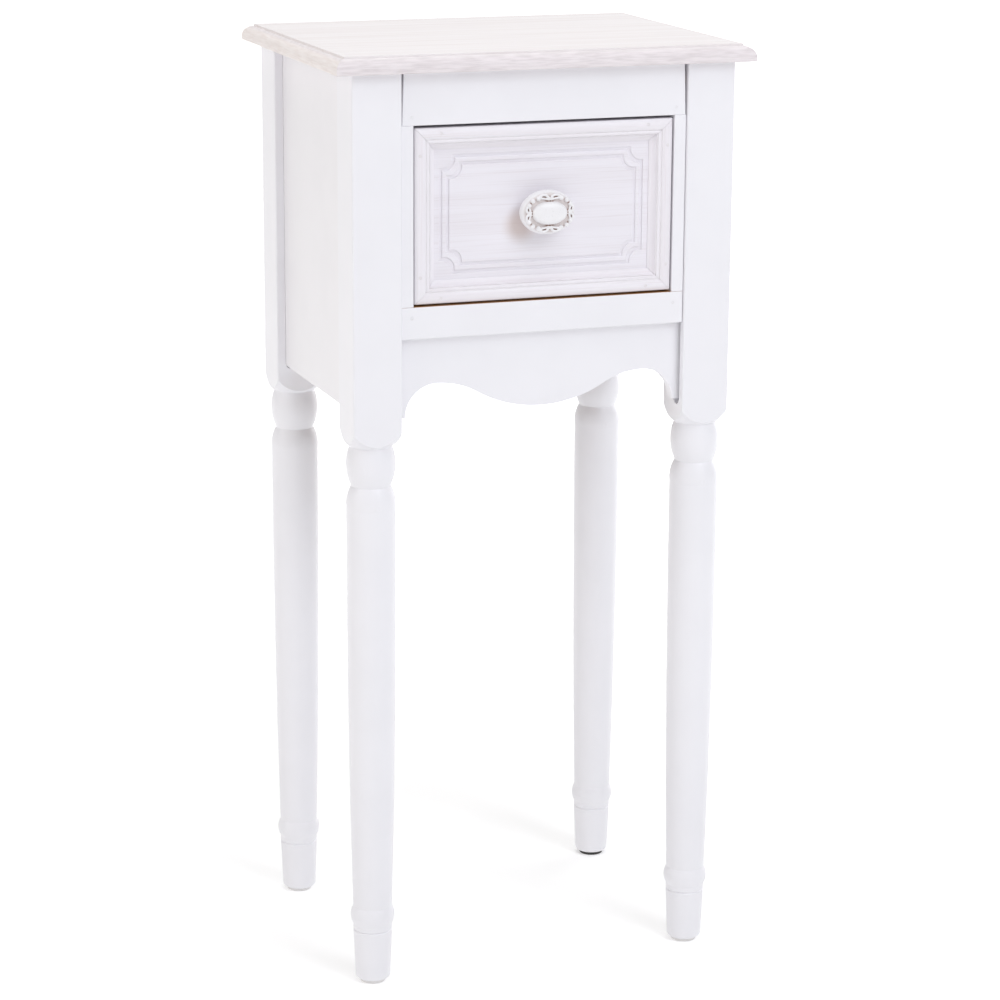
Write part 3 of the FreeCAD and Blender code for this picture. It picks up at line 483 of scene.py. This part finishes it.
# Steel, electroplated with zinc: bright grey metal with a faint mottle. The mottle is drawn coarse, to show.
ZINC = FleckedFinish("zinc_plated_steel", roughness=0.35, roughness_spread=0.15, relief_mm=0.005,
                     pale="B9BBBF", dark="8F9196", fleck_mm=1.5, metallic=1.0)
ZINC_IN_DRAWER = replace(ZINC, name="zinc_plated_steel_in_drawer")

# Polythene, moulded: dull and faintly waxy, milky under three feet and black under the rear right one. The
# grain of the mould is drawn several times coarser than it is, so that it shows.
MILKY_GLIDE = FleckedFinish("milky_polythene", roughness=0.5, pale="EDEBEA", dark="E3E1E0", fleck_mm=0.6)
BLACK_GLIDE = FleckedFinish("black_polythene", roughness=0.55, pale="3A3734", dark="2A2826", fleck_mm=0.6)

# Wood filler, pressed in with a knife and painted or limed over: a dull dot, hardly darker than its ground.
PAINTED_FILLER = FleckedFinish("painted_wood_filler", roughness=0.6, relief_mm=0.03, pale="F0EFF3",
                               dark="E9E7EB", fleck_mm=0.5)
LIMED_FILLER = replace(PAINTED_FILLER, name="limed_wood_filler", pale="ECE8EB", dark="E3DDE0")

# White enamel on cast zinc, glazed brown and wiped: a smooth, slightly glossy white whose scrolls stand out
# because the hollows between them stay brown.
ENAMEL_CASTING = PatinaPaint("white_enamel_casting", roughness=0.3, roughness_spread=0.08, relief_mm=0.01)
ENAMEL_SCROLLS = replace(ENAMEL_CASTING, name="white_enamel_over_brown_glaze")


def dress(names: tuple[str, ...], finish: Finish) -> None:
    """Gives CAD nodes a finish.

    Args:
        names: the nodes.
        finish: the finish that they share.
    """
    material = finish.build()
    for name in names:
        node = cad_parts[name]
        node.data.materials.clear()
        node.data.materials.append(material)
        LOG.info("dressed %s in %s", name, finish.name)


def only(piece: Object) -> None:
    """Makes a piece the only selected object and the active one.

    Args:
        piece: the piece.
    """
    bpy.ops.object.select_all(action="DESELECT")
    piece.select_set(True)
    bpy.context.view_layer.objects.active = piece


def settle(piece: Object, name: str) -> Object:
    """Names a piece and moves its place into its mesh.

    Args:
        piece: the piece.
        name: its new name.
    Returns:
        The same piece, at the origin, unturned and unscaled.
    """
    only(piece)
    bpy.ops.object.transform_apply(location=True, rotation=True, scale=True)
    piece.name = name
    piece.data.name = name
    return piece


def joined(pieces: list[Object], name: str) -> Object:
    """Joins pieces into one mesh.

    Args:
        pieces: the pieces, of which the first takes in the others.
        name: the new piece's name.
    Returns:
        The joined piece, with its place in its mesh.
    """
    only(pieces[0])
    for piece in pieces:
        piece.select_set(True)
    bpy.ops.object.join()
    return settle(bpy.context.view_layer.objects.active, name)


def outwards(piece: Object) -> Object:
    """Turns a closed piece's faces outwards.

    Args:
        piece: the piece.
    Returns:
        The same piece.
    """
    only(piece)
    bpy.ops.object.mode_set(mode="EDIT")
    bpy.ops.mesh.select_all(action="SELECT")
    bpy.ops.mesh.normals_make_consistent(inside=False)
    bpy.ops.object.mode_set(mode="OBJECT")
    return piece


def finished(piece: Object, body: str, finish: Finish) -> Object:
    """Puts a new piece on its body with its slot and finish.

    Args:
        piece: the piece.
        body: the body that it rides on.
        finish: its finish.
    Returns:
        The same piece.
    """
    piece.data.materials.clear()
    piece.data.materials.append(finish.build())
    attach(piece, body)
    LOG.info("made %s on %s", piece.name, body)
    return piece


@dataclass
class ScrollKnob:
    """The cast oval knob: a deep bowl on a stem, a ring of double C-scrolls and a plain oval cabochon.

    Lengths are in mm. Places on the ornament are X and Z from the middle of the knob.
    """

    field_y: float = -109.2
    centre_z: float = 600.7
    ring_vertices: int = 96
    scroll_out: float = 16.9
    outer_wire: float = 0.95
    inner_wire: float = 0.85
    wire_vertices: int = 16
    wire_steps: int = 18
    bead: float = 1.75
    bead_subdivisions: int = 4
    top_root: Pair = (0.35, 9.7)
    top_tip: Pair = (9.0, 11.0)
    top_rises: Pair = (3.2, 0.7)
    side_root: Pair = (14.5, 0.35)
    side_tip: Pair = (16.2, 6.2)
    side_rises: Pair = (2.9, 0.5)
    diagonal: Pair = (13.4, 9.3)
    voxel: float = 0.27
    soften_factor: float = 0.5
    soften_rounds: int = 3

    def profile(self) -> list[Place]:
        """Gives the body's rings: distance out from the drawer front, half width and half height."""
        stem = [(0.0, 8.0, 8.0), (2.0, 8.0, 8.0), (2.7, 6.6, 6.6), (4.0, 5.6, 5.6), (5.0, 6.6, 6.4)]
        bowl = [(5.7, 12.6, 8.6), (6.5, 17.0, 12.2), (7.6, 19.8, 14.9), (9.0, 21.1, 16.2),
                (10.4, 21.4, 16.6), (12.2, 21.2, 16.4), (13.8, 20.5, 15.8), (15.0, 19.4, 14.8)]
        floor = [(15.9, 18.2, 13.7), (16.1, 17.0, 12.4), (16.1, 15.6, 10.8), (16.1, 14.3, 9.3)]
        cabochon = [(16.8, 13.85, 8.75), (18.2, 13.5, 8.45), (19.5, 12.4, 7.75), (20.4, 10.2, 6.4),
                    (20.95, 7.2, 4.4), (21.15, 3.8, 2.3)]
        return stem + bowl + floor + cabochon

    def body(self) -> Object:
        """Extrudes a circle through the rings of the profile.

        Returns:
            The closed body.
        """
        rings = self.profile()
        out, half_x, half_z = rings[0]
        centre = Vector((0, (self.field_y - out) * MM, self.centre_z * MM))
        bpy.ops.object.select_all(action="DESELECT")
        bpy.ops.mesh.primitive_circle_add(vertices=self.ring_vertices, radius=half_x * MM, fill_type="NGON",
                                          location=centre, rotation=(math.pi / 2, 0, 0))
        piece = settle(bpy.context.active_object, "knob_body")
        bpy.ops.object.mode_set(mode="EDIT")
        bpy.ops.mesh.select_all(action="SELECT")
        for next_out, next_x, next_z in rings[1:]:
            step = (0, (out - next_out) * MM, 0)
            bpy.ops.mesh.extrude_region_move(TRANSFORM_OT_translate={"value": step})
            centre.y = (self.field_y - next_out) * MM
            bpy.ops.transform.resize(value=(next_x / half_x, 1, next_z / half_z), center_override=centre)
            out, half_x, half_z = next_out, next_x, next_z
        bpy.ops.object.mode_set(mode="OBJECT")
        return outwards(piece)

    def rim_point(self, x: float, z: float) -> Vector:
        """Gives a point of the scrolls' plane in metres."""
        return Vector((x * MM, (self.field_y - self.scroll_out) * MM, (self.centre_z + z) * MM))

    def arc(self, root: Vector, tip: Vector, rise: float, wire: float) -> Object:
        """Spins a round wire along an arc that bulges away from the cabochon.

        Args:
            root: where the arc starts, beside the cabochon.
            tip: where it ends, towards a diagonal.
            rise: how far the arc stands out from the straight line between them.
            wire: the wire's radius.
        Returns:
            The closed wire.
        """
        chord = tip - root
        away = Vector((-chord.z, 0, chord.x)).normalized()
        if away.dot((root + tip) / 2 - self.rim_point(0, 0)) < 0:
            away = -away
        height = rise * MM
        radius = (chord.length ** 2 / 4 + height ** 2) / (2 * height)
        centre = (root + tip) / 2 - away * (radius - height)
        spoke = root - centre
        sweep = spoke.angle(tip - centre)
        turn = 1.0 if spoke.cross(away).y > 0 else -1.0
        tangent = Vector((0, turn, 0)).cross(spoke).normalized()
        lean = math.atan2(tangent.x, tangent.z)
        bpy.ops.object.select_all(action="DESELECT")
        bpy.ops.mesh.primitive_circle_add(vertices=self.wire_vertices, radius=wire * MM, location=root,
                                          rotation=(0, lean, 0))
        piece = settle(bpy.context.active_object, "scroll_wire")
        bpy.ops.object.mode_set(mode="EDIT")
        bpy.ops.mesh.select_all(action="SELECT")
        # The spin operator turns against the right-hand rule
        bpy.ops.mesh.spin(steps=self.wire_steps, angle=-turn * sweep, center=centre, axis=(0, 1, 0))
        bpy.ops.mesh.select_all(action="SELECT")
        bpy.ops.mesh.remove_doubles(threshold=MERGE_DISTANCE)
        bpy.ops.mesh.fill_holes(sides=0)
        bpy.ops.object.mode_set(mode="OBJECT")
        return outwards(piece)

    def bead_at(self, place: Vector) -> Object:
        """Makes the small ball that ends a scroll.

        Args:
            place: its centre, in metres.
        Returns:
            The ball.
        """
        bpy.ops.object.select_all(action="DESELECT")
        bpy.ops.mesh.primitive_ico_sphere_add(subdivisions=self.bead_subdivisions, radius=self.bead * MM,
                                              location=place)
        return settle(bpy.context.active_object, "scroll_bead")

    def quarter(self) -> Object:
        """Models the upper right quarter of the ornament: two double scrolls and three beads.

        Returns:
            The quarter as one piece.
        """
        top = (self.rim_point(*self.top_root), self.rim_point(*self.top_tip))
        side = (self.rim_point(*self.side_root), self.rim_point(*self.side_tip))
        pieces = []
        for ends, rises in ((top, self.top_rises), (side, self.side_rises)):
            pieces.append(self.arc(*ends, rises[0], self.outer_wire))
            pieces.append(self.arc(*ends, rises[1], self.inner_wire))
        for place in (top[1], side[1], self.rim_point(*self.diagonal)):
            pieces.append(self.bead_at(place))
        return joined(pieces, "scroll_quarter")

    def ornament(self) -> list[Object]:
        """Models one quarter of the ornament and mirrors copies of it into the other three.

        Returns:
            The four quarters.
        """
        first = self.quarter()
        made = [first]
        for side, end in ((-1, 1), (1, -1), (-1, -1)):
            copy = first.copy()
            copy.data = first.data.copy()
            bpy.context.scene.collection.objects.link(copy)
            copy.scale = (side, 1, end)
            # A copy mirrored in Z hangs below the floor, so it is lifted to the height of the knob
            copy.location.z = (1 - end) * self.centre_z * MM
            made.append(outwards(settle(copy, "scroll_quarter")))
        return made

    def build(self) -> Object:
        """Casts body and scrolls into one smooth skin and puts it in the CAD knob's place.

        Returns:
            The knob.
        """
        knob = joined([self.body()] + self.ornament(), "scroll_knob")
        only(knob)
        remesh = knob.modifiers.new("cast", "REMESH")
        remesh.mode = "VOXEL"
        remesh.voxel_size = self.voxel * MM
        bpy.ops.object.modifier_apply(modifier="cast")
        soften = knob.modifiers.new("soften", "SMOOTH")
        soften.factor = self.soften_factor
        soften.iterations = self.soften_rounds
        bpy.ops.object.modifier_apply(modifier="soften")
        bpy.ops.object.shade_smooth()
        finished(knob, "drawer", ENAMEL_SCROLLS)
        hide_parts("drawer_knob")
        return knob


@dataclass
class FillerDots:
    """Small dished dots of filler over the sunk heads of brads. Lengths are in mm."""

    name: str
    body: str
    slot: str
    places: tuple[Place, ...]
    radius: float = 1.25
    depth: float = 0.18
    rim: float = 0.45
    slope: float = 0.4
    dish: float = 0.04
    vertices: int = 24

    def one(self, place: Place) -> Object:
        """Makes one dot, which looks to the front.

        Args:
            place: the middle of its front face.
        Returns:
            The dot.
        """
        x, y, z = place
        bpy.ops.object.select_all(action="DESELECT")
        middle = (x * MM, (y + self.depth / 2) * MM, z * MM)
        bpy.ops.mesh.primitive_cylinder_add(vertices=self.vertices, radius=self.radius * MM,
                                            depth=self.depth * MM, location=middle,
                                            rotation=(math.pi / 2, 0, 0))
        dot = settle(bpy.context.active_object, self.name)
        for face in dot.data.polygons:
            face.select = face.normal.y < FRONT_COSINE
        bpy.ops.object.mode_set(mode="EDIT")
        bpy.ops.mesh.select_mode(type="FACE")
        bpy.ops.mesh.inset(thickness=self.rim * MM)
        bpy.ops.mesh.inset(thickness=self.slope * MM, depth=-self.dish * MM)
        bpy.ops.object.mode_set(mode="OBJECT")
        return dot

    def build(self, finish: Finish) -> Object:
        """Makes all the dots as one piece."""
        dots = joined([self.one(place) for place in self.places], self.name)
        return finished(dots, self.body, finish)


@dataclass
class Carcass:
    """The fixed part: top, legs, panels, face frame, apron, drawer ways and fixings. Lengths are in mm."""

    frame_front: float = -116.7
    brad_x: float = 103.9
    brad_heights: Pair = (526.0, 674.0)

    def dress_wood(self) -> None:
        """Paints the white pieces, limes the top and leaves the drawer ways bare."""
        legs = tuple(f"{end}_{side}_leg" for end in ("front", "rear") for side in ("left", "right"))
        ways = tuple(f"{side}_{name}" for side in ("left", "right")
                     for name in ("drawer_runner", "drawer_guide", "kicker", "drawer_stop"))
        dress(("top_board",), LIMED_TOP)
        dress(legs, PAINTED_LEGS)
        dress(("left_side_panel", "right_side_panel", "back_panel"), PAINTED_PANELS)
        dress(("front_left_stile", "front_right_stile"), PAINTED_STILES)
        dress(("front_top_rail", "front_apron"), PAINTED_RAILS)
        dress(("front_bottom_rail",), PAINTED_WORN_RAIL)
        dress(ways + ("rail_dowels",), BARE_WAYS)

    def dress_fixings(self) -> None:
        """Gives the screws, brads, nails and glides their finishes."""
        dress(("glide_nails", "top_screws", "runner_screws", "kicker_screws", "rail_brads", "guide_brads"),
              ZINC)
        dress(("front_left_foot_glide", "front_right_foot_glide", "rear_left_foot_glide"), MILKY_GLIDE)
        dress(("rear_right_foot_glide",), BLACK_GLIDE)

    def build(self) -> None:
        """Dresses every carcass node and adds the filler dots of the rails."""
        self.dress_wood()
        self.dress_fixings()
        places = tuple((side * self.brad_x, self.frame_front, height)
                       for side in (-1, 1) for height in self.brad_heights)
        FillerDots("rail_filler_dots", "carcass", "white_paint", places).build(PAINTED_FILLER)


@dataclass
class Drawer:
    """The sliding part: limed front with mitred mouldings, box, knob and fixings. Lengths are in mm."""

    crest_y: float = -116.64
    centre_z: float = 600.7
    half_width: float = 101.5
    half_height: float = 65.0
    brad_in: float = 4.0
    brad_from_end: float = 20.0

    def dress_nodes(self) -> None:
        """Limes the front, leaves the box bare and gives the fixings and the CAD knob their finishes."""
        dress(("drawer_front_panel",), LIMED_FRONT)
        dress(("drawer_moulding_top", "drawer_moulding_bottom"), LIMED_STRIP_X)
        dress(("drawer_moulding_left", "drawer_moulding_right"), LIMED_STRIP_Z)
        dress(("drawer_left_side", "drawer_right_side"), BARE_SIDES)
        dress(("drawer_back",), BARE_BACK)
        dress(("drawer_bottom",), HARDBOARD)
        dress(("moulding_brads", "drawer_back_brads", "drawer_bottom_pins", "knob_screw", "knob_washer"),
              ZINC_IN_DRAWER)
        dress(("drawer_knob",), ENAMEL_CASTING)

    def fill_brads(self) -> None:
        """Covers the two brads of each moulding strip with limed filler."""
        far_x = self.half_width - self.brad_in
        near_x = self.half_width - self.brad_from_end
        far_z = self.half_height - self.brad_in
        near_z = self.half_height - self.brad_from_end
        places = []
        for side in (-1, 1):
            for end in (-1, 1):
                places.append((side * near_x, self.crest_y, self.centre_z + end * far_z))
                places.append((side * far_x, self.crest_y, self.centre_z + end * near_z))
        FillerDots("moulding_filler_dots", "drawer", "limed_wood", tuple(places)).build(LIMED_FILLER)

    def build(self) -> None:
        """Dresses every drawer node, fills the brads and makes the knob."""
        self.dress_nodes()
        self.fill_brads()
        ScrollKnob().build()


@dataclass(frozen=True)
class SoftLamp:
    """A square soft lamp: its place and side in metres, its power in watts and its sRGB hex colour."""

    name: str
    place: Place
    size: float
    power: float
    colour: str
    aim: Place = (0, 0, 0.45)

    def build(self) -> None:
        """Adds the lamp, which looks at the middle of the nightstand."""
        data = bpy.data.lights.new(self.name, "AREA")
        data.size = self.size
        data.energy = self.power
        data.color = linear(self.colour)[:3]
        lamp = bpy.data.objects.new(self.name, data)
        lamp.location = self.place
        look = Vector(self.aim) - Vector(self.place)
        lamp.rotation_euler = look.to_track_quat("-Z", "Y").to_euler()
        bpy.context.scene.collection.objects.link(lamp)


@dataclass
class Studio:
    """The pale floor, the soft lamps, the white surroundings and the camera. Lengths are in metres."""

    camera_place: Place = (-0.8131, -2.2752, 0.9744)
    azimuth: float = 19.84
    elevation: float = 14.47
    roll: float = 0.36
    lens: float = 112.94
    sensor: float = 36.0
    view_depth: float = 100.0
    surround: float = 0.40
    floor_radius: float = 40.0
    floor_sides: int = 64
    floor_colour: str = "F4F4F4"
    floor_light: float = 0.20
    fade_distances: Pair = (0.25, 1.2)
    fade_glow: Pair = (0.3, 1.0)
    lamps: tuple[SoftLamp, ...] = (
        SoftLamp("key_lamp", (0.92, -2.30, 2.10), 1.2, 20.0, "F5F8FF"),
        SoftLamp("fill_lamp", (-2.65, -0.35, 1.55), 1.8, 18.0, "FFFAF5"),
        SoftLamp("front_lamp", (0.1, -1.4, 2.8), 1.8, 16.5, "FAFBFF"),
        SoftLamp("top_lamp", (0.1, 0.6, 2.9), 1.8, 13.8, WHITE),
        SoftLamp("back_lamp", (2.3, 1.3, 0.9), 1.6, 16.0, WHITE),
    )

    def seen(self, tree: NodeTree) -> Socket:
        """Gives 1 for rays that look at a surface straight, by a reflection or through glass.

        Args:
            tree: the tree that needs it.
        Returns:
            1 for such rays and 0 for those that only carry light.
        """
        path = add_node(tree, "LightPath")
        either = add_node(tree, "Math", {0: path.outputs["Is Camera Ray"], 1: path.outputs["Is Glossy Ray"]},
                          operation="MAXIMUM")
        return add_node(tree, "Math", {0: either.outputs[0], 1: path.outputs["Is Transmission Ray"]},
                        operation="MAXIMUM").outputs[0]

    def surroundings(self) -> None:
        """Makes the world white to look at, and softer as a light."""
        world = bpy.data.worlds.new("white_room")
        world.use_nodes = True
        tree = world.node_tree
        tree.nodes.clear()
        light = add_node(tree, "Background", {"Color": linear(WHITE), "Strength": self.surround})
        white = add_node(tree, "Background", {"Color": linear(WHITE), "Strength": 1.0})
        mixed = add_node(tree, "MixShader", {0: self.seen(tree), 1: light.outputs[0], 2: white.outputs[0]})
        add_node(tree, "OutputWorld", {"Surface": mixed.outputs[0]})
        bpy.context.scene.world = world

    def floor_finish(self) -> Material:
        """Makes the floor's material: matt white board that glows to plain white away from the feet.

        Returns:
            The material.
        """
        material = bpy.data.materials.new("white_studio_board")
        material.use_nodes = True
        tree = material.node_tree
        tree.nodes.clear()
        place = add_node(tree, "TexCoord").outputs["Object"]
        away = add_node(tree, "VectorMath", {0: place}, operation="LENGTH").outputs["Value"]
        start, end = self.fade_distances
        near, far = self.fade_glow
        lift = add_node(tree, "MapRange", {0: away, 1: start, 2: end, 3: near, 4: far},
                        interpolation_type="SMOOTHSTEP").outputs[0]
        glow = add_node(tree, "Math", {0: lift, 1: self.seen(tree)}, operation="MULTIPLY").outputs[0]
        lit = add_node(tree, "Math", {0: glow, 1: self.floor_light}, operation="MAXIMUM").outputs[0]
        board = add_node(tree, "BsdfDiffuse", {"Color": linear(self.floor_colour)})
        shine = add_node(tree, "Emission", {"Color": linear(WHITE), "Strength": lit})
        both = add_node(tree, "AddShader", {0: board.outputs[0], 1: shine.outputs[0]})
        add_node(tree, "OutputMaterial", {"Surface": both.outputs[0]})
        return material

    def floor(self) -> None:
        """Lays the white floor that keeps the shadow under the feet."""
        bpy.ops.object.select_all(action="DESELECT")
        bpy.ops.mesh.primitive_circle_add(vertices=self.floor_sides, radius=self.floor_radius,
                                          fill_type="NGON", location=(0, 0, 0))
        floor = settle(bpy.context.active_object, "studio_floor")
        floor.data.materials.append(self.floor_finish())

    def camera(self) -> None:
        """Places the camera where the photograph was taken from."""
        across = math.radians(self.azimuth)
        above = math.radians(self.elevation)
        tilt = math.radians(self.roll)
        level = math.cos(above)
        back = Vector((-math.sin(across) * level, -math.cos(across) * level, math.sin(above)))
        flat_right = Vector((math.cos(across), -math.sin(across), 0))
        flat_up = back.cross(flat_right)
        right = flat_right * math.cos(tilt) + flat_up * math.sin(tilt)
        up = flat_up * math.cos(tilt) - flat_right * math.sin(tilt)
        data = bpy.data.cameras.new("camera")
        data.lens = self.lens
        data.sensor_width = self.sensor
        data.clip_end = self.view_depth
        camera = bpy.data.objects.new("camera", data)
        turn = Matrix((right, up, back)).transposed().to_4x4()
        camera.matrix_world = Matrix.Translation(Vector(self.camera_place)) @ turn
        bpy.context.scene.collection.objects.link(camera)
        bpy.context.scene.camera = camera

    def build(self) -> None:
        """Sets the camera, the floor and the lights."""
        bpy.context.scene.view_settings.view_transform = "Standard"
        self.camera()
        self.floor()
        self.surroundings()
        for lamp in self.lamps:
            lamp.build()


def main() -> None:
    """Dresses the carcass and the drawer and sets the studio."""
    logging.basicConfig(level=logging.INFO, format="%(message)s")
    Carcass().build()
    Drawer().build()
    Studio().build()


if __name__ == "__main__":
    main()
